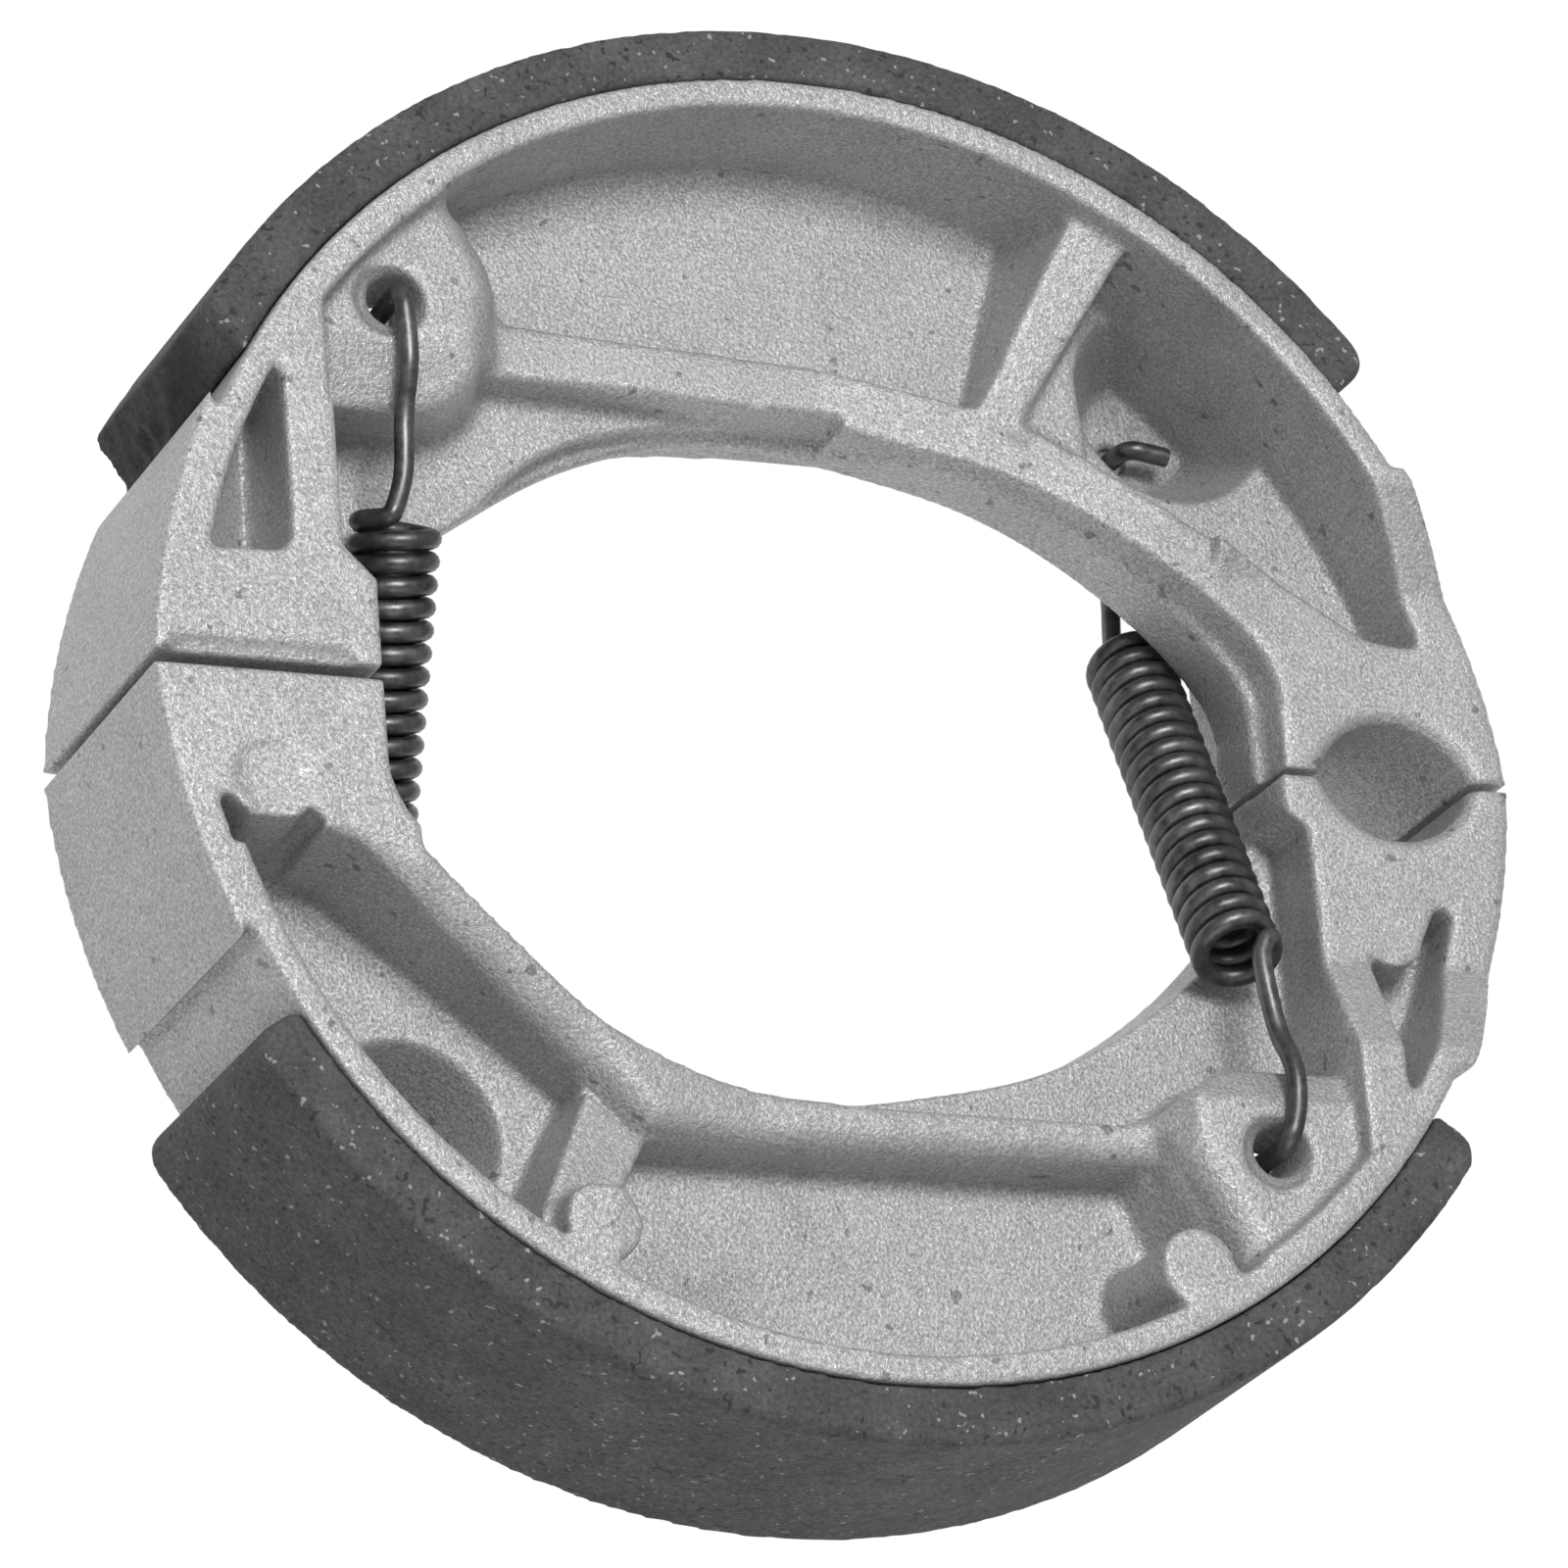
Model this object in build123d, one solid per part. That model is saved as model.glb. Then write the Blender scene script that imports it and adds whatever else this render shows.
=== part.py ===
from build123d import *
import os
from math import asin, atan2, cos, degrees, hypot, radians, sin, sqrt, tan

os.makedirs("parts", exist_ok=True)

# main sizes in millimetres
width = 28.0
web_t = 4.0
arc_x = -0.3
arc_y = -2.3
rim_r = 60.0
rim_t = 2.5
rim_draft = 0.5
lining_t = 4.9
glue = 0.1
lining_inset = 0.3

# split between the two shoes
cam_gap = 1.0
pin_gap = 0.6
cam_out_x = -61.95
cam_in_x = -42.4

# anchor pin end
pin_x = 51.4
pin_d = 15.0
pin_drop = 2.15
pin_drop_face = 4.3
pin_out_x = 61.95
pin_in_x = 40.8
bore_chamfer = 0.9
outline_step = 1.1

# spring and its hook holes
wire = 1.7
coil_od = 7.8
pitch = 1.88
turns = 19.2
hole_d = 4.4
hook_cam = (-38.2, 34.7)
hook_pin = (35.4, 34.9)
boss_drop = 2.0
wire_gap = 0.12
coil_steps = 10

recess_floor = 8.0
cast_r = 0.6

# levels that follow from the sizes above
wire_r = wire / 2 * 1.03
web_lo = width / 2 - web_t / 2
web_hi = width / 2 + web_t / 2
pin_lo = pin_drop_face
pin_hi = width - pin_drop_face
rim_in = rim_r - rim_t
over = 4.0


def rim_point(x, r):
    """Point on a circle about the shoe's arc centre, above the split line."""
    return (x, arc_y + sqrt(r * r - (x - arc_x) ** 2))


def plate(points, z0, z1):
    """Straight prism over a closed outline."""
    face = make_face(Polyline(*[(x, y, z0) for x, y in points], close=True))
    return extrude(face, amount=z1 - z0, dir=(0, 0, 1))


def cornered(points, z):
    """Closed outline at height z; a third value in a point rounds that corner."""
    face = make_face(Polyline(*[(p[0], p[1], z) for p in points], close=True))
    for p in points:
        if len(p) > 2:
            corner = face.vertices().sort_by_distance((p[0], p[1], z))[0]
            face = fillet(corner, p[2])
    return face


def drafted(top, floor, z_top, z_floor):
    """Pocket core with drafted walls between its mouth and its floor."""
    return loft([cornered(top, z_top), cornered(floor, z_floor)], ruled=True)


def disc(x, y, r, z0, z1, r2=None):
    """Upright round or tapered pin from z0 to z1."""
    low = Pos(x, y, z0) * Circle(r)
    if r2 is None:
        return extrude(low, amount=z1 - z0, dir=(0, 0, 1))
    return loft([Sketch() + low, Sketch() + Pos(x, y, z1) * Circle(r2)])


def ramp(points, x0, x1):
    """Cutter with a profile in y and z, running from x0 to x1."""
    face = make_face(Polyline(*[(x0, y, z) for y, z in points], close=True))
    return extrude(face, amount=x1 - x0, dir=(1, 0, 0))


def slope(points, y0, y1):
    """Cutter with a profile in x and z, running from y0 to y1."""
    face = make_face(Polyline(*[(x, y0, z) for x, z in points], close=True))
    return extrude(face, amount=y1 - y0, dir=(0, 1, 0))


# outer outline of the casting, from the anchor corner round to the cam corner
step_pin_x = rim_r - 8.0
step_cam_x = -(rim_r - 4.6)
end_pin = rim_point(step_pin_x, rim_r)
end_cam = rim_point(step_cam_x, rim_r)
lip_pin = rim_point(step_pin_x + 1.0, rim_r + outline_step)
lip_cam = rim_point(step_cam_x - 0.4, rim_r + outline_step + 0.2)
top_mid = (arc_x, arc_y + rim_r)


def outline():
    """Closed plan of the whole casting with a plain inside edge."""
    s1 = Line((pin_in_x, pin_gap / 2), (pin_out_x, pin_gap / 2))
    s2 = ThreePointArc(s1 @ 1, (58.2, 17.0), lip_pin)
    s3 = Line(lip_pin, end_pin)
    s4 = ThreePointArc(end_pin, top_mid, end_cam)
    s5 = Line(end_cam, lip_cam)
    s6 = ThreePointArc(lip_cam, (-59.7, 13.2), (cam_out_x, cam_gap / 2))
    s7 = Polyline(s6 @ 1, (0, cam_gap / 2), (0, pin_gap / 2), s1 @ 0)
    return make_face(Curve() + [s1, s2, s3, s4, s5, s6, s7])


# inside edges of the casting, cam side first
part_z = 19.5
lip_edge = [(cam_in_x, 6.5), (-40.9, 11), (-36.8, 14.6), (-28, 20.3), (-22, 24),
            (-16.3, 26.6), (-8, 28.7), (0, 28.9), (8.3, 27.6), (17, 25.6),
            (27.6, 20.4), (36.4, 13.1), (39.2, 9.4), (pin_in_x - 0.9, 5)]
far_edge = [(cam_in_x, 6.5), (-41.2, 11.4), (-37.4, 15.4), (-29, 21.8), (-23, 26),
            (-17, 29), (-9, 31.3), (0, 31.8), (9, 30.4), (18.4, 28),
            (29, 22.4), (37.3, 14.6), (39.9, 9.9), (pin_in_x - 0.4, 5)]
web_edge = [(-40.4, 11.6), (-36.2, 15.2), (-32, 17.8), (-28, 21), (-24.6, 24.4),
            (-20, 27.3), (-15, 29), (-10, 30), (-3, 30.6), (4, 30.6)]
ridge_a_cam = [(-18.6, 31.1), (-10, 30.9), (-3, 30.5), (4, 29.5)]
ridge_a_pin = [(4, 29.5), (8.3, 28.3), (17, 26.2), (27.6, 20.9), (36.9, 13.9),
               (40.2, 10), (pin_in_x, 5.5)]
ridge_b_in = [(-40, 14.6), (-34, 19.4), (-28.6, 23.5), (-23.4, 27),
              (-18, 29.4), (-12.8, 30.9), (-7, 31.7), (2, 32.1), (12, 32.2),
              (22, 32.3)]
below = -12.0


def opening_face(points, z, lead=(), drop=()):
    """Closed plan of an opening: a lead-in, a smooth edge, and a way out below."""
    run = Spline(*[(x, y, z) for x, y in points])
    corners = [(x, y) for x, y in drop] or [(points[-1][0], below)]
    start = lead[0][0] if lead else points[0][0]
    loop = [points[-1]] + corners + [(start, corners[-1][1])] + list(lead) + [points[0]]
    rest = Polyline(*[(x, y, z) for x, y in loop])
    return make_face(Curve() + [run, rest])


def inside(points, z0, z1, lead=(), drop=()):
    """Core for the open middle, between z0 and z1."""
    face = opening_face(points, z0, lead, drop)
    return extrude(face, amount=z1 - z0, dir=(0, 0, 1))


def rim_core(z0, z1):
    """Cone that leaves the drafted rim wall standing, open towards z1."""
    far = rim_in - rim_draft
    low = Pos(arc_x, arc_y, z0) * Circle(far)
    high = Pos(arc_x, arc_y, z1) * Circle(rim_in)
    return loft([Sketch() + low, Sketch() + high])


def bar(start, end, thick, z0, h_start, h_end):
    """Rib with a sloping top between two plan points."""
    length = hypot(end[0] - start[0], end[1] - start[1])
    turn = degrees(atan2(end[1] - start[1], end[0] - start[0]))
    side = Polyline((0, 0), (length, 0), (length, h_end - z0), (0, h_start - z0),
                    close=True)
    face = Plane(origin=(start[0], start[1], z0), x_dir=(cos(radians(turn)),
                 sin(radians(turn)), 0), z_dir=(sin(radians(turn)),
                 -cos(radians(turn)), 0)) * make_face(side)
    return extrude(face, amount=thick / 2, both=True)


def front_pockets():
    """Cores for the boss side: main pocket, anchor pocket and cam pocket."""
    top = width + over
    z = web_hi
    rim_side = rim_core(z, width)
    rim_side += disc(arc_x, arc_y, rim_in, width, top)
    main_top = [(-36.6, 43.4), (-33.6, 40.8), (-31.9, 37.8, 3), (-31.4, 34.9, 1.6),
                (-18, 34.9), (-8, 34.5), (2, 34.2), (11, 32.3), (16.2, 30.9, 0.8),
                (27, 48.5), (27, 60), (-36.6, 60)]
    main_low = [(-29, 46.6), (-28.1, 43.9), (-26.2, 40.6, 3), (-25.6, 36.6, 1.6),
                (-18, 36), (-8, 35.7), (2, 35.3), (11, 33.5), (16.6, 32.4, 0.8),
                (21.9, 49.6), (22.6, 60), (-29, 60)]
    main = drafted(main_top, main_low, top, z) & rim_side
    pin_top = [(18.8, 30.4, 0.8), (26, 26.6), (32, 22.6), (37, 19.3), (43, 15.8),
               (49.6, 11.8, 3), (55, 11.3, 1.5), (62, 22), (31, 60), (30.2, 48.5)]
    pin_low = [(20.4, 31, 0.8), (27, 27.6), (33, 23.8), (38, 20.6), (44, 17.2),
               (50, 13.6, 3), (54, 13, 1.5), (62, 22), (31, 60), (31.2, 47.5)]
    pin_side = drafted(pin_top, pin_low, top, z) & rim_side
    hollow = disc(37.5, 37, 5.0, recess_floor, z + 0.5, 9.6)
    hollow += disc(35.6, 35.4, 4.4, recess_floor, z)
    hollow &= disc(arc_x, arc_y, rim_in - rim_draft, recess_floor - 1, top)
    cam_top = [(-57.0, 9.4, 0.8), (-49.2, 9.6, 1.6), (-49.2, 29.5), (-60, 29.5)]
    cam_low = [(-55.6, 10.6, 0.8), (-50.2, 10.8, 1.6), (-49.8, 27), (-60, 27)]
    cam_side = drafted(cam_top, cam_low, top, width - 8) & rim_side
    cam_side -= slope([(-60, 19), (-60, 26.6), (-50.8, 20), (-50.8, 19)], 0, 40)
    return [main, pin_side, hollow, cam_side]


def back_pockets():
    """Cores for the far side, cut from below."""
    z = web_lo
    low = -over
    far = rim_in - rim_draft
    cone = loft([Sketch() + Pos(arc_x, arc_y, 0) * Circle(rim_in),
                 Sketch() + Pos(arc_x, arc_y, z) * Circle(far)])
    cone += disc(arc_x, arc_y, rim_in, low, 0)
    cam_top = [(-56.6, 12.4), (-50.4, 12.4), (-45, 14.2), (-35, 22), (-30, 26),
               (-23.6, 30.8), (-25.4, 34), (-30.5, 44), (-31, 62), (-62, 30)]
    cam_low = [(-54.6, 14.4), (-50.4, 14.6), (-45.6, 15.4), (-35.6, 22.8), (-30.6, 26.8),
               (-25, 31.6), (-26.6, 34.4), (-31.6, 44), (-32, 62), (-62, 30)]
    cam_side = drafted(cam_top, cam_low, low, z) & cone
    main_top = [(-20.4, 34.9), (-10, 35.2), (10, 35.3), (28, 35.1, 1.2),
                (31, 39.2, 3), (33, 43.8), (34, 60), (-27, 60), (-25.6, 44)]
    main_low = [(-19.6, 36.2), (-10, 36.3), (10, 36.3), (24.4, 36, 1.2), (26, 40, 3),
                (27.6, 44), (28, 60), (-24.6, 60), (-24.4, 44)]
    main = drafted(main_top, main_low, low, z) & cone
    hollow = disc(-38.6, 35.2, 8.6, z - 0.5, width - recess_floor, 4.6)
    hollow &= disc(arc_x, arc_y, far, -1, width)
    pin_top = [(46.4, 29.4), (46.4, 15.6), (51.6, 15.4), (53.6, 10.6), (56, 10.6),
               (62, 18), (50, 36)]
    pin_low = [(47.2, 28.4), (47.2, 16.6), (51.4, 16.2), (53.6, 12.2), (56, 12.2),
               (62, 18), (50, 36)]
    pin_side = drafted(pin_top, pin_low, low, 9.5) & cone
    return [main, cam_side, hollow, pin_side]


def casting():
    """One shoe casting; its front is the boss side of the cam end."""
    body = extrude(outline(), amount=width, dir=(0, 0, 1))
    # open middle: a lip near mid width, drafted towards the far side
    body -= loft([opening_face(far_edge, -1), opening_face(lip_edge, part_z)], ruled=True)
    body -= inside(lip_edge, part_z - 0.5, width + 1)
    body -= inside(web_edge, width / 2, width + 1)
    body -= inside(ridge_a_pin, part_z, width + 1)
    # front side above the web: open up to the ridge, boss and post
    open_low = [(-39.5, 7), (cam_in_x, 8.2), (-44.4, 11), (-44.4, 25.4), (-36, 25.4),
                (-31.6, 26.2), (-28.6, 28.6), (-27.6, 31.2)]
    open_top = [(-39.5, 7), (cam_in_x, 8.2), (-45.2, 11), (-45.2, 24.6), (-38.4, 24.8),
                (-34.6, 26.2), (-32.4, 28.6), (-31.5, 31.2)]
    body -= loft([opening_face(ridge_a_cam, web_hi, open_low),
                  opening_face(ridge_a_cam, width + 1, open_top)], ruled=True)
    # far side below the web: open up to the ridge and the second boss
    back_far = [(26, 31.5), (31, 27.6), (42.2, 27.6), (42.2, 5), (39.5, 3), (39.5, below)]
    body -= inside(ridge_b_in, -1, web_lo, lead=[(-39.8, 8)], drop=back_far)
    # pockets on both sides
    for core in front_pockets() + back_pockets():
        body -= core
    # lower levels: front ridge, both faces of the anchor end, far ridge
    ridge_cut = slope([(-27.6, web_hi + 4), (2, web_hi + 4), (36, pin_hi),
                       (36, width + 1), (-31.5, width + 1)], -1, 37.2)
    ridge_zone = plate([(-31.5, 26), (-31.5, 35.1), (-27, 37), (2, 37), (12, 35.4),
                        (21, 32), (36, 23), (36, -1), (-31.5, -1)], web_hi, width + 1)
    body -= ridge_cut & ridge_zone
    ledge_cut = slope([(3, web_lo + 2), (12, part_z), (3, part_z)], 20, 34)
    body -= ledge_cut & inside(ridge_a_pin, web_lo, part_z)
    end_ramp = [(26, 0), (17, 4.4), (12, pin_lo), (-1, pin_lo), (-1, -2), (26, -2)]
    body -= ramp([(y, width - z) for y, z in end_ramp], 36, 70)
    body -= ramp(end_ramp, 36, 70)
    far_ridge = slope([(-40, 0), (-25, 4), (-10, 6), (24.5, 6), (28, boss_drop),
                       (28, -1), (-40, -1)], -1, 35.2)
    far_zone = plate([(-45, 13.4), (-35, 22), (-30, 26), (-23, 31), (-19, 35.2),
                      (28, 35.2), (28, -1), (-45, -1)], -1, web_lo)
    body -= far_ridge & far_zone
    # ribs
    rib_top = bar((16.9, 30.4), (28, 50.4), 8.0, width + 1, web_hi + 5.4, width - 2.2)
    body -= rib_top & disc(arc_x, arc_y, rim_in - 0.1, web_hi, width + 1)
    body += bar((16.9, 30.4), (27.5, 49.5), 3.0, web_hi - 1, web_hi + 5.4, width - 2.3)
    tongue_low = [(17.8, 30.9), (25.6, 44.4, 0.8), (29, 44.2, 1.6), (27.6, 37, 3), (28.6, 27.6)]
    tongue_top = [(18.0, 30.2), (25.1, 40.7, 0.6), (27.4, 41.9, 0.9), (25.8, 36.2, 3),
                  (26.4, 27)]
    body += drafted(tongue_low, tongue_top, web_hi - 1, web_hi + 5)
    rib_b = bar((-21.4, 31.5), (-27.6, 45.4), 3.6, web_lo + 1, 6.0, 2.5)
    body += rib_b
    # push-out discs left by the mould
    body += disc(-26.7, 45.4, 3.3, 0.2, web_lo + 1) & rim_band(0.2)
    body += disc(25.6, 46.4, 3.4, 0.2, web_lo + 1)
    body -= disc(-52.4, 9.8, 3.3, -1, 0.35)
    body += disc(49.2, 14.3, 2.9, pin_lo + 0.2, web_lo)
    # boss tops sit just below the rim
    body -= boss_top_a() + boss_top_b()
    # cam face strip
    body -= plate([(cam_out_x + 1.6, -1), (cam_out_x + 1.6, cam_gap / 2 + 1.4),
                   (cam_in_x - 2.4, cam_gap / 2 + 1.4), (cam_in_x - 2.4, -1)],
                  width - 0.7, width + 1)
    # hook holes with their countersinks
    for x, y, z0, z1 in ((hook_cam[0], hook_cam[1], width - boss_drop, 1.0),
                         (hook_pin[0], hook_pin[1], boss_drop, -1.0)):
        body -= disc(x, y, hole_d / 2, -1, width + 1)
        sink = disc(x - 0.6, y - 0.5 * z1, hole_d / 2 + 0.9, z0 - 1.0, z0 + 1.0)
        body -= sink
    # anchor pin bore
    body -= disc(pin_x, -pin_drop, pin_d / 2, -1, width + 1)
    big = pin_d / 2 + bore_chamfer
    body -= disc(pin_x, -pin_drop, pin_d / 2, pin_hi - bore_chamfer, pin_hi, big)
    body -= disc(pin_x, -pin_drop, big, pin_lo, pin_lo + bore_chamfer, pin_d / 2)
    return body


def rim_band(z0):
    """Everything inside the rim's outer face."""
    return disc(arc_x, arc_y, rim_r - 0.5, z0, width)


def boss_top_a():
    """Lowers the cam-end boss and rounds off its lower side."""
    zone = plate([(-45.4, 24), (-45.4, 33), (-35.5, 45), (-28, 45), (-28, 24)],
                 width - boss_drop, width + 1)
    zone &= disc(arc_x, arc_y, rim_in - 0.4, width - 2, width + 1)
    return zone + ramp([(31, width - boss_drop), (24.5, width - 4.4),
                        (24.5, width + 1), (31, width + 1)], -45.2, -31)


def boss_top_b():
    """The same for the boss on the far side."""
    zone = plate([(24.6, 24), (24.6, 47), (36, 47), (42.4, 41), (42.4, 24)],
                 -1, boss_drop)
    zone &= disc(arc_x, arc_y, rim_in - 0.4, -1, 2)
    zone -= disc(25.6, 46.4, 3.6, -1, 2)
    return zone + ramp([(31, boss_drop), (27, 3.9), (27, -1), (31, -1)], 25.8, 42.2)


def lining(a_pin, a_cam):
    """Friction lining between two end angles, with rounded outer ends."""
    r0 = rim_r + glue
    r1 = rim_r + lining_t
    z0 = lining_inset
    z1 = width - lining_inset

    def at(r, a):
        return (arc_x + r * cos(radians(a)), arc_y + r * sin(radians(a)))

    mid = (a_pin + a_cam) / 2
    e1 = ThreePointArc(at(r0, a_pin), at(r0, mid), at(r0, a_cam))
    e2 = Line(at(r0, a_cam), at(r1, a_cam))
    e3 = ThreePointArc(at(r1, a_cam), at(r1, mid), at(r1, a_pin))
    e4 = Line(at(r1, a_pin), at(r0, a_pin))
    face = Pos(0, 0, z0) * make_face(Curve() + [e1, e2, e3, e4])
    body = extrude(face, amount=z1 - z0, dir=(0, 0, 1))
    ends = body.edges().filter_by(Axis.Z)
    outer = [e for e in ends if hypot(e.center().X - arc_x, e.center().Y - arc_y) > r1 - 1]
    body = fillet(outer, 2.2)
    rims = [e for e in body.edges() if e.geom_type == GeomType.CIRCLE
            and abs(e.radius - r1) < 0.01]
    return chamfer(rims, 0.5)


def broken_corner():
    """Rough wedge missing from the front corner at the cam end."""
    def at(r, a):
        return (arc_x + r * cos(radians(a)), arc_y + r * sin(radians(a)))

    far = [at(72, 166), at(58, 166)]
    front = [at(58, 150.6), at(61.5, 149.6), at(63.5, 148.4), at(68, 147.2)]
    middle = [at(58, 152.6), at(61.5, 151.2), at(63.5, 151.4), at(68, 150.2)]
    back = [at(58, 154.6), at(61.5, 154.0), at(63.5, 153.6), at(68, 153.4)]
    piece = drafted(front + far, middle + far, width + 1, width * 0.55)
    return piece + drafted(middle + far, back + far, width * 0.55, 2.5)


def eased(points, times=2):
    """Round off the corners of a line by cutting them, keeping its two ends."""
    for _ in range(times):
        cut = [points[0]]
        for here, there in zip(points, points[1:]):
            cut.append(here * 0.75 + there * 0.25)
            cut.append(here * 0.25 + there * 0.75)
        cut.append(points[-1])
        points = cut
    return points


def drawn_wire(line):
    """Wire of near-round section carried along a line of close points."""
    side = Vector(0, 0, 1)
    sections = []
    for k, spot in enumerate(line):
        before = line[max(k - 1, 0)]
        after = line[min(k + 1, len(line) - 1)]
        way = (after - before).normalized()
        side = (side - way * side.dot(way)).normalized()
        sections.append(Plane(origin=spot, x_dir=side, z_dir=way) * RegularPolygon(wire_r, 8))
    return loft(sections, ruled=True)


def spring(hook_x, hook_y, coil_x, tip):
    """Close-wound coil with a hook at each end; its front end points to plus y."""
    mid_r = (coil_od - wire) / 2
    half = pitch * turns / 2
    lift = width - boss_drop + wire / 2 + wire_gap
    edge_y = 24.5
    edge_z = lift - 2.1
    tilt = degrees(atan2(edge_z - width / 2, edge_y))
    place = Pos(coil_x, 0, width / 2) * Rot(tilt - 90, 0, 0) * Rot(0, 0, -180 * turns)
    coil_line = place * Pos(0, 0, -half) * Helix(pitch, 2 * half, mid_r)
    steps = round(turns * coil_steps)
    coil = [coil_line @ (i / steps) for i in range(steps + 1)]
    end = coil_line @ 1
    run = coil_line % 1
    floor = width - recess_floor
    bends = [end, end + run * 1.6, (coil_x - 0.9, end.Y + 2.6, edge_z - 0.3),
             (hook_x, edge_y - 3, edge_z - 0.2), (hook_x, edge_y, edge_z),
             (hook_x, edge_y + 3.5, lift - 0.1), (hook_x, hook_y - 3.4, lift),
             (hook_x, hook_y + 0.1, lift), (hook_x, hook_y + 0.1, lift - 3.4),
             (hook_x, hook_y, floor + 1), (hook_x, hook_y - 0.1, floor - 2.8),
             (hook_x + 2.6 * tip, hook_y - 0.5, floor - 2.9),
             (hook_x + 3.8 * tip, hook_y - 0.7, floor - 2.9)]
    hook = eased([Vector(*p) for p in bends])
    other = [Vector(p.X, -p.Y, width - p.Z) for p in reversed(hook)]
    return drawn_wire(other[:-1] + coil + hook[1:])


def lower(shape):
    """The second shoe is the same casting turned over about the split line."""
    return shape.rotate(Axis((0, 0, width / 2), (1, 0, 0)), 180)


shoe = casting()
pieces = {
    "upper_shoe_casting": shoe,
    "lower_shoe_casting": lower(shoe),
    "upper_lining": lining(37.2, 154.6) - broken_corner(),
    "lower_lining": lower(lining(34.4, 148.4)),
    "cam_end_spring": spring(hook_cam[0], hook_cam[1], -37.8, 1),
    "anchor_end_spring": Rot(0, 0, 180) * spring(-hook_pin[0], hook_pin[1], -35.4, -1),
}
for name, piece in pieces.items():
    export_step(piece, "parts/" + name + ".step")
    box = piece.bounding_box()
    print(name, round(piece.volume), piece.is_valid, len(piece.solids()),
          [round(v, 2) for v in (*box.min, *box.max)])
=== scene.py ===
import math

import bpy
import numpy as np
from mathutils import Matrix, Vector
from mathutils.noise import noise as noise_at


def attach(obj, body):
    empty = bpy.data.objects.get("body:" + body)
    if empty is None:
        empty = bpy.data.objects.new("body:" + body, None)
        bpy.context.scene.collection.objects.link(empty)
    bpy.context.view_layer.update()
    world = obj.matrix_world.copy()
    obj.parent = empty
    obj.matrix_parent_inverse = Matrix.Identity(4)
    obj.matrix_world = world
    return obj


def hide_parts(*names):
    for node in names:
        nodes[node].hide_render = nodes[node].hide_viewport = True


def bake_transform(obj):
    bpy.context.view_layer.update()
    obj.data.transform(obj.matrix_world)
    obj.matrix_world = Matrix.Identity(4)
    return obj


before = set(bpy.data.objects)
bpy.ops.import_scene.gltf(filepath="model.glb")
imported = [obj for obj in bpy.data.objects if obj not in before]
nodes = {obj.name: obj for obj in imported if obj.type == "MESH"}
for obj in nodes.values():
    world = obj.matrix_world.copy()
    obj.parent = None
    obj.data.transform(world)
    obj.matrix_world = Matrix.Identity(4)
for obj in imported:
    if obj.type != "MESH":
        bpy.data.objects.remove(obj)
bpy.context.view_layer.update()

MM = 0.001
WIDTH = 28.0


# node helpers

def new_material(name):
    mat = bpy.data.materials.new(name)
    mat.use_nodes = True
    tree = mat.node_tree
    return mat, tree, tree.nodes["Principled BSDF"]


def node(tree, kind, **values):
    n = tree.nodes.new(kind)
    for key, value in values.items():
        if key in n.inputs:
            n.inputs[key].default_value = value
        else:
            setattr(n, key, value)
    return n


def ramp(tree, source, stops):
    n = tree.nodes.new("ShaderNodeValToRGB")
    e = n.color_ramp.elements
    while len(e) < len(stops):
        e.new(0.5)
    for item, (pos, grey) in zip(e, stops):
        item.position = pos
        item.color = (grey, grey, grey, 1)
    tree.links.new(source, n.inputs["Fac"])
    return n


def noise(tree, coord, scale, detail=4.0, rough=0.55):
    n = node(tree, "ShaderNodeTexNoise", Scale=scale, Detail=detail, Roughness=rough)
    tree.links.new(coord, n.inputs["Vector"])
    return n


def mix_colour(tree, fac, a, b, mode="MIX"):
    n = tree.nodes.new("ShaderNodeMix")
    n.data_type = "RGBA"
    n.blend_type = mode
    if isinstance(fac, float):
        n.inputs["Factor"].default_value = fac
    else:
        tree.links.new(fac, n.inputs["Factor"])
    for socket, value in ((n.inputs["A"], a), (n.inputs["B"], b)):
        if isinstance(value, tuple):
            socket.default_value = value
        else:
            tree.links.new(value, socket)
    return n.outputs["Result"]


def bump(tree, height, strength, distance, under=None):
    n = node(tree, "ShaderNodeBump", Strength=strength, Distance=distance)
    tree.links.new(height, n.inputs["Height"])
    if under is not None:
        tree.links.new(under, n.inputs["Normal"])
    return n.outputs["Normal"]


# materials

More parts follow.
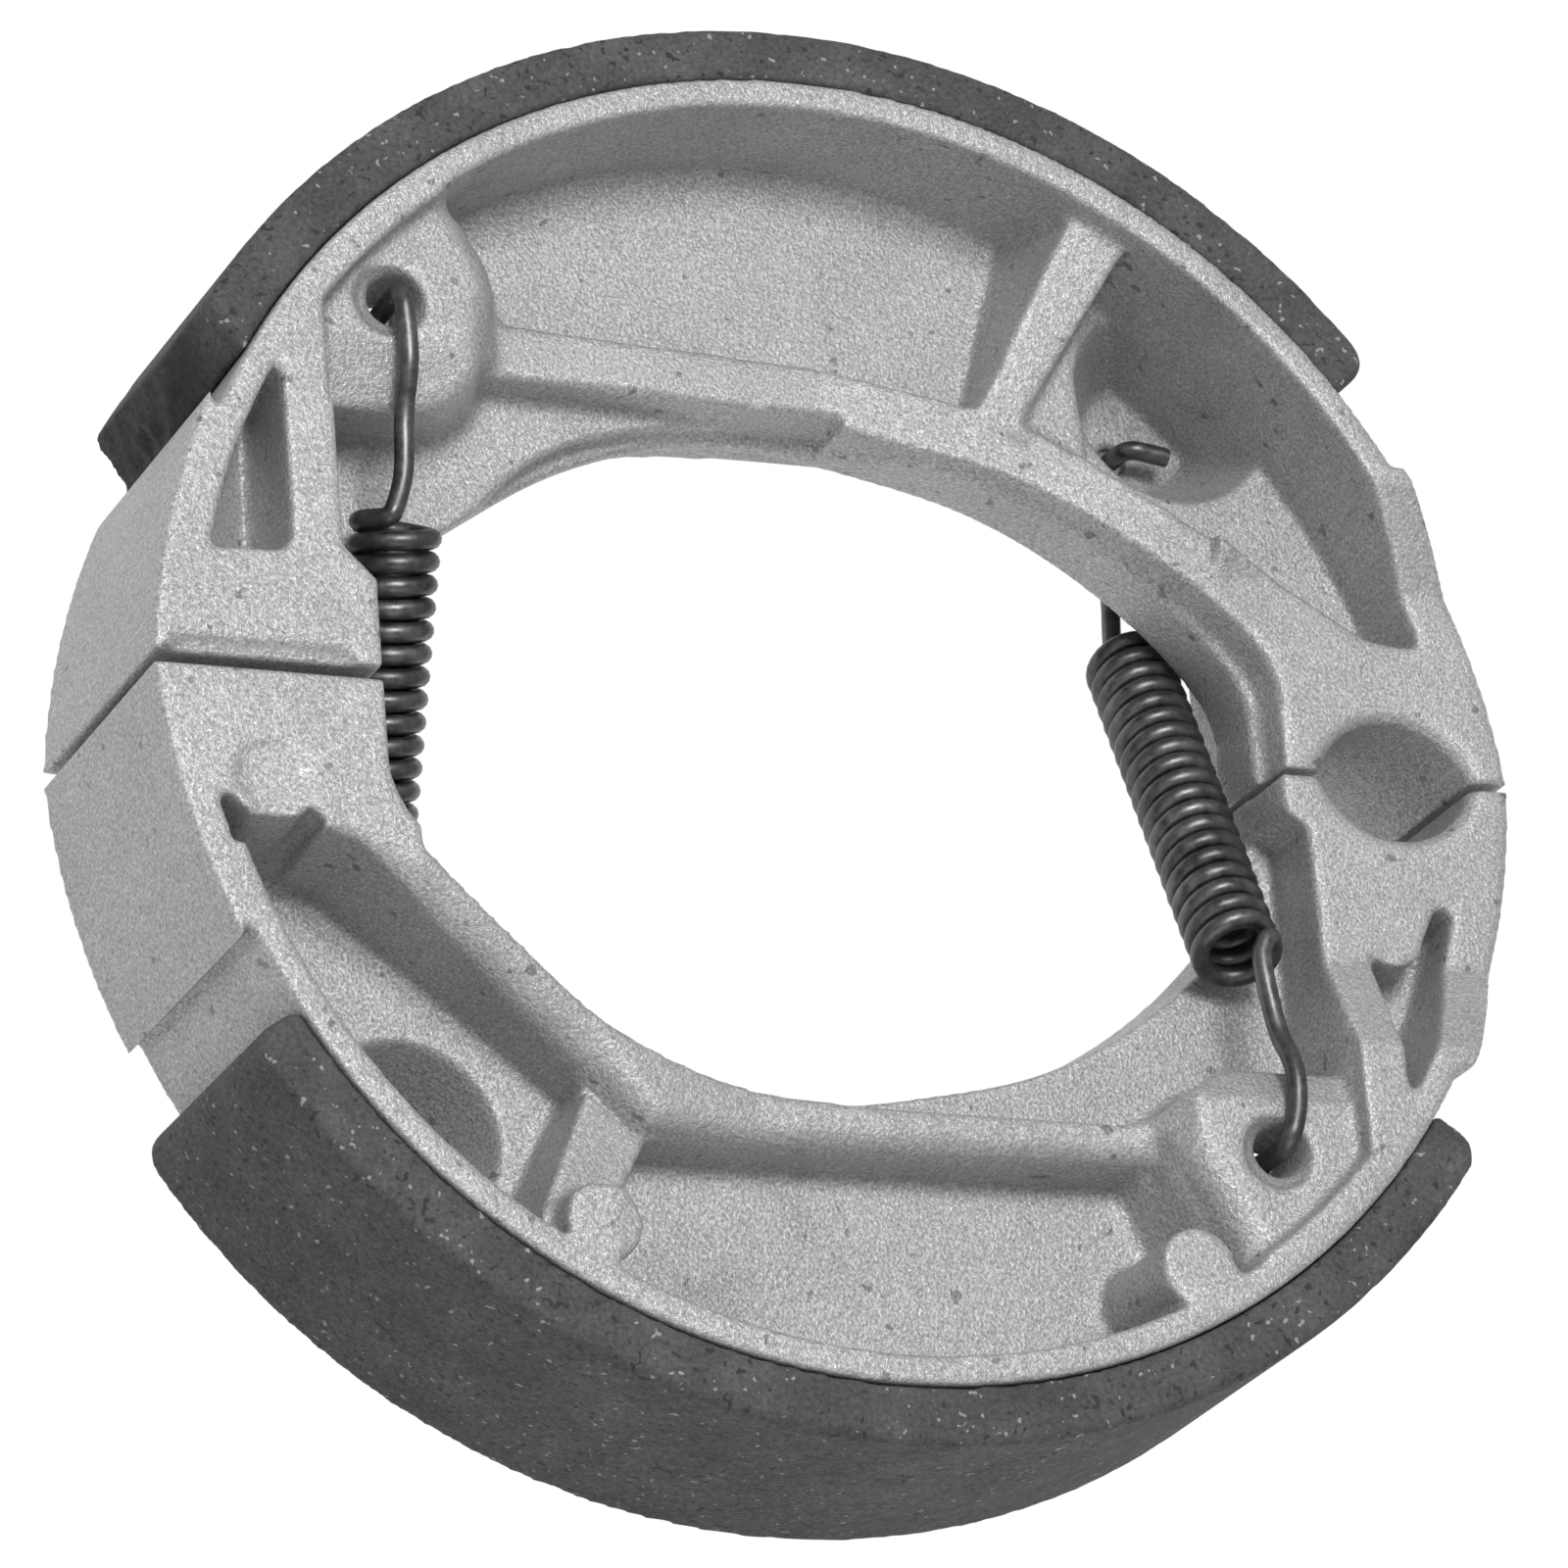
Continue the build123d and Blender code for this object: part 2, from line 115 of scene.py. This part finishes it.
def cast_aluminium():
    mat, t, p = new_material("cast_aluminium")
    coord = t.nodes.new("ShaderNodeTexCoord").outputs["Object"]
    grain = noise(t, coord, 3300.0, 2.0, 0.75)
    sand = noise(t, coord, 1500.0, 2.0, 0.6)
    blotch = noise(t, coord, 120.0, 4.0, 0.6)
    stain = noise(t, coord, 38.0, 6.0, 0.68)
    pits = noise(t, coord, 620.0, 1.0, 0.5)
    # fine silvery grain, a soft cloud, and grey stains where moulds wear
    base = ramp(t, grain.outputs["Fac"], [(0.28, 0.30), (0.5, 0.48), (0.70, 0.70)])
    shade = ramp(t, blotch.outputs["Fac"], [(0.3, 0.90), (0.62, 1.0)])
    dark = ramp(t, stain.outputs["Fac"], [(0.33, 0.62), (0.44, 1.0)])
    dots = ramp(t, pits.outputs["Fac"], [(0.24, 0.35), (0.29, 1.0)])
    colour = mix_colour(t, 1.0, base.outputs["Color"], shade.outputs["Color"], "MULTIPLY")
    colour = mix_colour(t, 0.5, colour, dark.outputs["Color"], "MULTIPLY")
    colour = mix_colour(t, 0.7, colour, dots.outputs["Color"], "MULTIPLY")
    # painted shade and highlight: hollows are darkened by pointiness as painted shade, flat faces a
    # little, and corners keep the full colour as a painted highlight
    pointiness_for_shade = t.nodes.new("ShaderNodeNewGeometry").outputs["Pointiness"]
    hollow_shade_corner_highlight = ramp(t, pointiness_for_shade, [(0.43, 0.45), (0.495, 0.92), (0.54, 1.0)])
    # the colour is multiplied by this painted shade and highlight
    colour = mix_colour(t, 0.75, colour, hollow_shade_corner_highlight.outputs["Color"], "MULTIPLY")
    t.links.new(colour, p.inputs["Base Color"])
    rough = ramp(t, grain.outputs["Fac"], [(0.3, 0.60), (0.72, 0.34)])
    t.links.new(rough.outputs["Color"], p.inputs["Roughness"])
    p.inputs["Metallic"].default_value = 0.45
    n = bump(t, blotch.outputs["Fac"], 0.30, 0.0006)
    n = bump(t, sand.outputs["Fac"], 0.45, 0.00018, n)
    n = bump(t, grain.outputs["Fac"], 0.85, 0.00016, n)
    n = bump(t, dots.outputs["Color"], 0.5, 0.0001, n)
    t.links.new(n, p.inputs["Normal"])
    return mat


def friction_lining():
    mat, t, p = new_material("friction_lining")
    coord = t.nodes.new("ShaderNodeTexCoord").outputs["Object"]
    fine = noise(t, coord, 2200.0, 3.0, 0.7)
    cloud = noise(t, coord, 150.0, 5.0, 0.65)
    patch = noise(t, coord, 1250.0, 1.0, 0.5)
    base = ramp(t, cloud.outputs["Fac"], [(0.3, 0.052), (0.5, 0.070), (0.7, 0.098)])
    grit = ramp(t, fine.outputs["Fac"], [(0.3, 0.70), (0.7, 1.35)])
    colour = mix_colour(t, 1.0, base.outputs["Color"], grit.outputs["Color"], "MULTIPLY")
    # pale chips of filler and a few dark ones
    chips = ramp(t, patch.outputs["Fac"], [(0.70, 0.0), (0.74, 1.0)])
    holes = ramp(t, patch.outputs["Fac"], [(0.30, 1.0), (0.34, 0.0)])
    colour = mix_colour(t, chips.outputs["Color"], colour, (0.30, 0.30, 0.295, 1))
    colour = mix_colour(t, holes.outputs["Color"], colour, (0.028, 0.028, 0.028, 1))
    # painted shade: the torn end face of the upper lining is coloured darker
    torn_shade = node(t, "ShaderNodeAttribute", attribute_name="torn_shade")
    colour = mix_colour(t, torn_shade.outputs["Fac"], colour, (0.030, 0.030, 0.030, 1))
    t.links.new(colour, p.inputs["Base Color"])
    rough = ramp(t, fine.outputs["Fac"], [(0.3, 0.90), (0.7, 0.62)])
    t.links.new(rough.outputs["Color"], p.inputs["Roughness"])
    n = bump(t, cloud.outputs["Fac"], 0.45, 0.0005)
    n = bump(t, fine.outputs["Fac"], 0.7, 0.0002, n)
    n = bump(t, holes.outputs["Color"], -0.5, 0.00015, n)
    t.links.new(n, p.inputs["Normal"])
    return mat


def spring_steel():
    mat, t, p = new_material("spring_steel")
    coord = t.nodes.new("ShaderNodeTexCoord").outputs["Object"]
    film = noise(t, coord, 900.0, 4.0, 0.65)
    cloud = noise(t, coord, 180.0, 3.0, 0.6)
    base = ramp(t, film.outputs["Fac"], [(0.3, 0.10), (0.7, 0.22)])
    tint = ramp(t, cloud.outputs["Fac"], [(0.35, 0.55), (0.62, 1.0)])
    colour = mix_colour(t, 1.0, base.outputs["Color"], tint.outputs["Color"], "MULTIPLY")
    t.links.new(colour, p.inputs["Base Color"])
    rough = ramp(t, film.outputs["Fac"], [(0.3, 0.30), (0.7, 0.50)])
    t.links.new(rough.outputs["Color"], p.inputs["Roughness"])
    p.inputs["Metallic"].default_value = 0.85
    t.links.new(bump(t, film.outputs["Fac"], 0.35, 0.00008), p.inputs["Normal"])
    return mat


alloy = cast_aluminium()
lining = friction_lining()
steel = spring_steel()


def dress(name, mat):
    data = nodes[name].data
    data.materials.clear()
    data.materials.append(mat)


# castings and linings: softened copies of the solids, rounded as cast and moulded metal is
# places below are in one shoe's own frame, in millimetres, and a round spot is x, y, radius
ARC = (-0.3, -2.3)
FAR_SIDE = 11.5
FAR_EDGE = [(-48.8, 13.3), (-45.4, 15.0), (-35.4, 22.6), (-30.4, 26.6), (-24.4, 31.5),
            (-20.2, 35.4), (-10, 35.9), (10, 35.9), (26, 35.7)]
FAR_TOP = ((-40, -25, -10), (0, 4, 6))
FAR_RADIUS = ((-47.5, -38, -24, -19), (1.0, 4.4, 4.0, 2.2))
FAR_SPAN = (-48, 26)
RIB_ROOT, RIB_TIP = (-21.4, 31.5), (-27.6, 45.4)
RIB_REACH = 4.4
RIB_OUTER = 57.3
RIB_TOP, RIB_FALL, RIB_GROOVE = 6.0, 3.2, 7.4
RIB_PAD = (-26.7, 45.4, 3.4)
NEAR_BOSS = [(-36, 46.2), (-33, 44.9), (-31, 42.3), (-29.2, 39.1), (-28.7, 35.7),
             (-29.7, 31.2), (-30.6, 28.6), (-33.2, 26.2), (-37.3, 25.1), (-44.6, 25)]
NEAR_BOSS_TOP, NEAR_BOSS_RADIUS, NEAR_BOSS_OUTER = 26.0, 3.0, 56.8
NEAR_BOSS_SPAN = (-44.4, -26.6)
FAR_BOSS = [(25, 27.6), (25.4, 33), (26.3, 35.5), (28.6, 39.6), (30.4, 43.9)]
FAR_BOSS_TOP, FAR_BOSS_RADIUS, FAR_BOSS_OUTER = 2.0, 3.4, 57
FAR_BOSS_SPAN = (23.6, 40)
POST = (25.6, 46.4, 3.7)
POCKET_PAD = (-52.4, 9.8, 3.9)
LOBES = [(-55.6, 13.8, 2.4), (-49.9, 13.5, 1.5)]
POCKET_SPAN, POCKET_OUTER = (-57.8, -48.4), 58.3
POCKET_TOP, POCKET_FLOOR, POCKET_SLOPE = 3.0, 11.8, 3.4
# x and y of a hook hole, the height where it starts to narrow, and the way it narrows
HOOK_HOLES = [(-38.2, 34.7, 24, -1), (35.4, 34.9, 4, 1)]
HOLE_NARROWING, HOLE_RUN = 0.9, 3
# round spots with the heights between which they hold
SMOOTH_SPOTS = [(-38.6, 35.2, 10.5, 10, 21), (37.5, 37, 11.0, 7, 18),
                (-37, 34, 12.5, 14, 25.4), (34, 34, 12, 2.6, 12)]
SMOOTH_ROUNDS = 14
CAST_GRID, CAST_ROUNDS, CAST_TRIANGLES = 0.34, 6, 180000
LINING_ROUNDS = 2


def to_casting(co, lower):
    """From the part's frame in metres to one shoe's own frame in millimetres."""
    out = co / MM
    if lower:
        out = out * (1, -1, -1) + (0, 0, WIDTH)
    return out


def from_casting(co, lower):
    """The way back, since turning the shoe over twice undoes itself."""
    if lower:
        co = co * (1, -1, -1) + (0, 0, WIDTH)
    return co * MM


def along(points, x, y):
    """Distance to a plan polyline, and the side: positive is left of its direction."""
    best = np.full(len(x), 1e9)
    side = np.ones(len(x))
    for (ax, ay), (bx, by) in zip(points, points[1:]):
        dx, dy = bx - ax, by - ay
        t = np.clip(((x - ax) * dx + (y - ay) * dy) / (dx * dx + dy * dy), 0, 1)
        ox, oy = x - (ax + t * dx), y - (ay + t * dy)
        gap = np.hypot(ox, oy)
        near = gap < best
        best = np.where(near, gap, best)
        side = np.where(near, np.sign(dx * oy - dy * ox), side)
    return best, side


def shoulder(gap, inner, radius):
    """How far a rounded edge falls at this distance from it."""
    t = np.where(inner, np.clip(radius - gap, 0, radius), radius)
    return radius - np.sqrt(np.maximum(radius ** 2 - t ** 2, 0))


def in_spot(x, y, spot):
    """Where the plan position lies inside a round spot."""
    return np.hypot(x - spot[0], y - spot[1]) < spot[2]


def between(values, span):
    return (values > span[0]) & (values < span[1])


def low_rib_and_ridge(x, y, z, r, far):
    """Second rib below the faces, with its pad proud of it, and the far ridge's round shoulder."""
    length = math.hypot(RIB_TIP[0] - RIB_ROOT[0], RIB_TIP[1] - RIB_ROOT[1])
    ux, uy = (RIB_TIP[0] - RIB_ROOT[0]) / length, (RIB_TIP[1] - RIB_ROOT[1]) / length
    run = (x - RIB_ROOT[0]) * ux + (y - RIB_ROOT[1]) * uy
    off = np.abs((x - RIB_ROOT[0]) * uy - (y - RIB_ROOT[1]) * ux)
    at_rib = (off < RIB_REACH) & (run > 0)
    gap, side = along(FAR_EDGE, x, y)
    rib = far & at_rib & (side > 0) & (r < RIB_OUTER) & ~in_spot(x, y, RIB_PAD)
    z = np.where(rib, np.maximum(z, RIB_TOP - RIB_FALL * np.clip(run / length, 0, 1)), z)
    radius = np.interp(x, *FAR_RADIUS)
    use = far & (gap < np.where(side < 0, radius, 1.3)) & between(x, FAR_SPAN) & (r < 50)
    level = np.interp(x, *FAR_TOP) + shoulder(gap, side < 0, radius)
    level = np.where(at_rib, np.minimum(level, RIB_GROOVE), level)
    return np.where(use, np.maximum(z, level), z)


def round_bosses(x, y, z, r):
    """Full shoulders on the boss of the far side and on that of the near side."""
    gap, side = along(FAR_BOSS, x, y)
    use = (z < 8) & (gap < np.where(side < 0, FAR_BOSS_RADIUS, 1.6))
    use &= between(x, FAR_BOSS_SPAN) & (r < FAR_BOSS_OUTER) & ~in_spot(x, y, POST)
    level = FAR_BOSS_TOP + shoulder(gap, side < 0, FAR_BOSS_RADIUS)
    z = np.where(use, np.maximum(z, level), z)
    gap, side = along(NEAR_BOSS, x, y)
    use = (z > 20) & (gap < np.where(side < 0, NEAR_BOSS_RADIUS, 1.6))
    use &= between(x, NEAR_BOSS_SPAN) & (r < NEAR_BOSS_OUTER)
    level = NEAR_BOSS_TOP - shoulder(gap, side < 0, NEAR_BOSS_RADIUS)
    return np.where(use, np.minimum(z, level), z)


def lobed_pocket_end(x, y, z, r, far):
    """Two lobes round the flush pad at the far pocket's end, with a sloping wall."""
    lobes = in_spot(x, y, LOBES[0]) | in_spot(x, y, LOBES[1])
    end = far & (lobes | (y > 12.8)) & (y < 15.4) & between(x, POCKET_SPAN)
    end &= (r < POCKET_OUTER) & ~in_spot(x, y, POCKET_PAD)
    wall = np.clip(POCKET_TOP + (y - 11.8) * POCKET_SLOPE, POCKET_TOP, POCKET_FLOOR)
    return np.where(end, np.maximum(z, wall), z)


def narrow_holes(x, y, z):
    """Hook holes narrow with depth, as cored holes do."""
    for hole_x, hole_y, start, way in HOOK_HOLES:
        depth = (z - start) * way
        gap = np.hypot(x - hole_x, y - hole_y)
        wall = (gap < 2.6) & (gap > 1.6) & (depth > 0)
        pull = np.where(wall, 1 - HOLE_NARROWING * np.clip(depth / HOLE_RUN, 0, 1) / gap, 1.0)
        x = hole_x + (x - hole_x) * pull
        y = hole_y + (y - hole_y) * pull
    return x, y


def carve_casting(co):
    """Rounded shoulders, the low second rib and the other forms of the casting, as vertex moves."""
    x, y, z = co.T.copy()
    r = np.hypot(x - ARC[0], y - ARC[1])
    far = z < FAR_SIDE
    z = low_rib_and_ridge(x, y, z, r, far)
    z = round_bosses(x, y, z, r)
    z = lobed_pocket_end(x, y, z, r, far)
    x, y = narrow_holes(x, y, z)
    return np.stack((x, y, z), 1)


def smooth_zones(co):
    """Where the mould is smoother: the dimples, and the flanks of the bosses."""
    x, y, z = co.T
    inside = np.zeros(len(x), bool)
    for spot in SMOOTH_SPOTS:
        inside |= in_spot(x, y, spot) & between(z, spot[3:])
    return inside


def link(obj):
    bpy.context.scene.collection.objects.link(obj)
    return obj


def evaluated(obj):
    """The object's mesh with its modifiers or its curve's bevel applied."""
    bpy.context.view_layer.update()
    graph = bpy.context.evaluated_depsgraph_get()
    return bpy.data.meshes.new_from_object(obj.evaluated_get(graph))


def remeshed(mesh, voxel):
    obj = link(bpy.data.objects.new("work", mesh))
    mod = obj.modifiers.new("grid", "REMESH")
    mod.mode = "VOXEL"
    mod.voxel_size = voxel
    out = evaluated(obj)
    bpy.data.objects.remove(obj)
    return out


def coords(mesh):
    co = np.empty(len(mesh.vertices) * 3)
    mesh.vertices.foreach_get("co", co)
    return co.reshape(-1, 3)


def put(mesh, co):
    mesh.vertices.foreach_set("co", co.astype(np.float32).ravel())
    mesh.update()


def smoothing(obj, name, rounds):
    mod = obj.modifiers.new(name, "SMOOTH")
    mod.factor = 0.5
    mod.iterations = rounds
    return mod


def softened(node_name, body, mat, lower, change, zones, voxel, rounds, count):
    """Show a node as a carved and smoothed copy of its solid, with about count triangles."""
    mesh = remeshed(nodes[node_name].data.copy(), voxel * MM)
    put(mesh, from_casting(change(to_casting(coords(mesh), lower)), lower))
    mesh = remeshed(mesh, voxel * MM)
    obj = link(bpy.data.objects.new(node_name + "_cast", mesh))
    if zones is not None:
        group = obj.vertex_groups.new(name="soft")
        inside = zones(to_casting(coords(mesh), lower))
        group.add([int(i) for i in np.nonzero(inside)[0]], 1.0, "REPLACE")
        smoothing(obj, "soft", SMOOTH_ROUNDS).vertex_group = "soft"
    smoothing(obj, "round", rounds)
    thin = obj.modifiers.new("thin", "DECIMATE")
    thin.ratio = min(1.0, count / (2.0 * len(mesh.polygons)))
    final = evaluated(obj)
    obj.modifiers.clear()
    obj.vertex_groups.clear()
    obj.data = final
    final.shade_smooth()
    final.materials.clear()
    final.materials.append(mat)
    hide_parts(node_name)
    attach(obj, body)
    return obj


# linings
LINING_INNER = 60.3
BREAK_BACK, BREAK_FRONT = 151.5, 153.3
BREAK_SLOPE = 0.5


def value_noise(co, scale, seed):
    """Smooth three-way noise from mathutils, about -1 to 1."""
    return np.array([noise_at(Vector(p) * scale + Vector((seed, seed, seed))) for p in co])


def polar(co):
    """Radius and angle in degrees about the middle of the rim."""
    x, y = co[:, 0] - ARC[0], co[:, 1] - ARC[1]
    return np.hypot(x, y), np.degrees(np.arctan2(y, x))


def torn_end(r, z):
    """Angle at which the broken end of the upper lining stops."""
    return np.interp(z, (0, WIDTH), (BREAK_BACK, BREAK_FRONT)) - BREAK_SLOPE * (r - LINING_INNER)


def rough_lining(broken):
    """Vertex moves for a lining: slightly uneven faces, ragged edges and, if broken, the torn end."""
    def change(co):
        x, y, z = co.T
        r, angle = polar(co)
        near_edge = np.minimum(np.minimum(z - 0.3, 27.7 - z), 64.9 - r) < 0.8
        move = np.where(near_edge, 0.16, 0.05) * value_noise(co, 0.9, 3.0)
        keep = r > 60.35
        move = np.where(keep, np.minimum(move, 0.0), 0.0)
        way = np.stack(((x - ARC[0]) / r, (y - ARC[1]) / r, np.clip((z - 14) / 14, -1, 1) * 0.7), 1)
        out = co + way * move[:, None]
        if broken:
            # the end has snapped off: a slanting face with flakes and hollows
            limit = torn_end(r, z) - 1.0 * np.abs(value_noise(co * (1, 1, 0.7), 0.42, 9.0))
            limit = limit - 0.45 * np.abs(value_noise(co, 1.5, 5.0))
            limit = np.where(r < 60.6, torn_end(r, z), limit)
            turn = np.radians(np.minimum(angle, limit) - angle)
            ox, oy = out[:, 0] - ARC[0], out[:, 1] - ARC[1]
            out[:, 0] = ARC[0] + ox * np.cos(turn) - oy * np.sin(turn)
            out[:, 1] = ARC[1] + ox * np.sin(turn) + oy * np.cos(turn)
        return out
    return change


def mark_torn_shade(obj):
    """Store where the lining is torn, for painted shade: a darker colour on the torn end face."""
    co = coords(obj.data) / MM
    r, angle = polar(co)
    # 1 on the torn end face, where the lining material paints shade
    torn_shade = np.clip((angle - torn_end(r, co[:, 2]) + 2.3) / 1.0, 0, 1)
    data = obj.data.attributes.new("torn_shade", "FLOAT", "POINT").data
    data.foreach_set("value", torn_shade.astype(np.float32))


dress("upper_shoe_casting", alloy)
dress("lower_shoe_casting", alloy)
dress("upper_lining", lining)
dress("lower_lining", lining)
dress("cam_end_spring", steel)
dress("anchor_end_spring", steel)
for shoe, turned_over in (("upper_shoe", False), ("lower_shoe", True)):
    softened(shoe + "_casting", shoe, alloy, turned_over, carve_casting, smooth_zones,
             CAST_GRID, CAST_ROUNDS, CAST_TRIANGLES)
mark_torn_shade(softened("upper_lining", "upper_shoe", lining, False, rough_lining(True), None,
                   0.36, LINING_ROUNDS, 80000))
softened("lower_lining", "lower_shoe", lining, True, rough_lining(False), None,
         0.4, LINING_ROUNDS, 70000)


# return springs: round drawn wire on the route that the solids follow
WIRE = 1.7
COIL_OD = 7.8
PITCH = 1.88
TURNS = 19.2


def eased(points, times=3):
    """Round off the corners of a line by cutting them, keeping its two ends."""
    for _ in range(times):
        cut = [points[0]]
        for here, there in zip(points, points[1:]):
            cut.append(here * 0.75 + there * 0.25)
            cut.append(here * 0.25 + there * 0.75)
        cut.append(points[-1])
        points = cut
    return points


def spring_line(hook_x, hook_y, coil_x, tip, sway):
    """Points of one spring's middle line in millimetres, lower hook first."""
    mid_r = (COIL_OD - WIRE) / 2
    half = PITCH * TURNS / 2
    lift = WIDTH - 2.0 + WIRE / 2 + 0.12
    edge_y = 24.5
    edge_z = lift - 2.1
    tilt = math.atan2(edge_z - WIDTH / 2, edge_y) - math.pi / 2
    turn = Matrix.Rotation(tilt, 4, "X") @ Matrix.Rotation(-math.pi * TURNS, 4, "Z")
    place = Matrix.Translation((coil_x, 0, WIDTH / 2)) @ turn
    steps = round(TURNS * 26)
    coil = []
    for i in range(steps + 1):
        angle = 2 * math.pi * TURNS * i / steps
        spot = (mid_r * math.cos(angle), mid_r * math.sin(angle), 2 * half * i / steps - half)
        coil.append(place @ Vector(spot))
    end = coil[-1]
    run = (coil[-1] - coil[-2]).normalized()
    floor_z = WIDTH - 8.0
    bends = [end, end + run * 1.7, (hook_x - 0.5, end.y + 1.3, edge_z - 0.5),
             (hook_x + sway * 0.4, edge_y - 5, edge_z - 0.2),
             (hook_x + sway * 0.8, edge_y, edge_z),
             (hook_x + sway, edge_y + 3.5, lift - 0.1),
             (hook_x + sway * 0.9, hook_y - 3.4, lift),
             (hook_x, hook_y + 0.1, lift), (hook_x, hook_y + 0.1, lift - 3.4),
             (hook_x, hook_y, floor_z + 1), (hook_x, hook_y - 0.1, floor_z - 2.8),
             (hook_x + 2.6 * tip, hook_y - 0.5, floor_z - 2.9),
             (hook_x + 3.8 * tip, hook_y - 0.7, floor_z - 2.9)]
    hook = eased([Vector(p) for p in bends])
    other = [Vector((p.x, -p.y, WIDTH - p.z)) for p in reversed(hook)]
    return other[:-1] + coil + hook[1:]


def wire_piece(name, points):
    curve = bpy.data.curves.new(name + "_line", "CURVE")
    curve.dimensions = "3D"
    curve.bevel_depth = WIRE / 2 * MM * 0.995
    curve.bevel_resolution = 4
    curve.use_fill_caps = True
    spline = curve.splines.new("POLY")
    spline.points.add(len(points) - 1)
    for item, p in zip(spline.points, points):
        item.co = (p.x * MM, p.y * MM, p.z * MM, 1)
    holder = link(bpy.data.objects.new(name + "_holder", curve))
    mesh = evaluated(holder)
    bpy.data.objects.remove(holder)
    mesh.shade_smooth()
    mesh.materials.clear()
    mesh.materials.append(steel)
    return link(bpy.data.objects.new(name, mesh))


def add_spring(name, node_name, points):
    obj = wire_piece(name, points)
    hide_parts(node_name)
    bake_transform(obj)
    return obj


add_spring("cam_end_spring_wire", "cam_end_spring", spring_line(-38.2, 34.7, -37.8, 1, 0.3))
turned = spring_line(-35.4, 34.9, -35.4, -1, -1.3)
add_spring("anchor_end_spring_wire", "anchor_end_spring",
           [Vector((-p.x, -p.y, p.z)) for p in reversed(turned)])


# stage, light and camera

def floor():
    bpy.ops.mesh.primitive_plane_add(size=4.0, location=(0, 0, -0.0004))
    obj = bpy.context.object
    obj.name = "studio_floor"
    mat = bpy.data.materials.new("studio_floor")
    mat.use_nodes = True
    t = mat.node_tree
    t.nodes.clear()
    out = t.nodes.new("ShaderNodeOutputMaterial")
    diffuse = t.nodes.new("ShaderNodeBsdfDiffuse")
    diffuse.inputs["Color"].default_value = (0.62, 0.62, 0.62, 1)
    glow = t.nodes.new("ShaderNodeEmission")
    glow.inputs["Color"].default_value = (1, 1, 1, 1)
    mixer = t.nodes.new("ShaderNodeMixShader")
    path = t.nodes.new("ShaderNodeLightPath")
    seen_white = path.outputs["Is Camera Ray"]
    for ray in ("Is Glossy Ray", "Is Transmission Ray"):
        top = node(t, "ShaderNodeMath", operation="MAXIMUM")
        t.links.new(seen_white, top.inputs[0])
        t.links.new(path.outputs[ray], top.inputs[1])
        seen_white = top.outputs[0]
    t.links.new(seen_white, mixer.inputs["Fac"])
    t.links.new(diffuse.outputs["BSDF"], mixer.inputs[1])
    t.links.new(glow.outputs["Emission"], mixer.inputs[2])
    t.links.new(mixer.outputs["Shader"], out.inputs["Surface"])
    obj.data.materials.append(mat)


floor()


def lamp(name, size, power, place, target):
    data = bpy.data.lights.new(name, "AREA")
    data.shape = "DISK"
    data.size = size
    data.energy = power
    obj = link(bpy.data.objects.new(name, data))
    obj.location = place
    way = Vector(target) - Vector(place)
    obj.rotation_euler = way.to_track_quat("-Z", "Y").to_euler()


lamp("key", 0.55, 12.0, (-0.12, 0.30, 1.25), (0, 0, 0))
lamp("low", 0.9, 2.0, (-0.25, -0.95, 0.55), (0, 0, 0))

world = bpy.data.worlds.new("studio")
bpy.context.scene.world = world
world.use_nodes = True
back = world.node_tree.nodes["Background"]
back.inputs["Color"].default_value = (1, 1, 1, 1)
back.inputs["Strength"].default_value = 0.36

FOCAL = 188.649
CAMERA_PLACE = (-0.271, -0.250083, 0.59329)
CAMERA_RIGHT = Vector((0.916604, -0.080663, 0.391575))
CAMERA_UP = Vector((-0.07414, 0.928152, 0.364743))
camera_data = bpy.data.cameras.new("camera")
camera = link(bpy.data.objects.new("camera", camera_data))
bpy.context.scene.camera = camera
camera_data.sensor_width = 36.0
camera_data.sensor_fit = "HORIZONTAL"
camera_data.lens = FOCAL
camera_data.clip_start = 0.01
away = CAMERA_RIGHT.cross(CAMERA_UP)
pose = Matrix((CAMERA_RIGHT, CAMERA_UP, away)).transposed().to_4x4()
pose.translation = Vector(CAMERA_PLACE)
camera.matrix_world = pose

bpy.context.scene.view_settings.view_transform = "Standard"
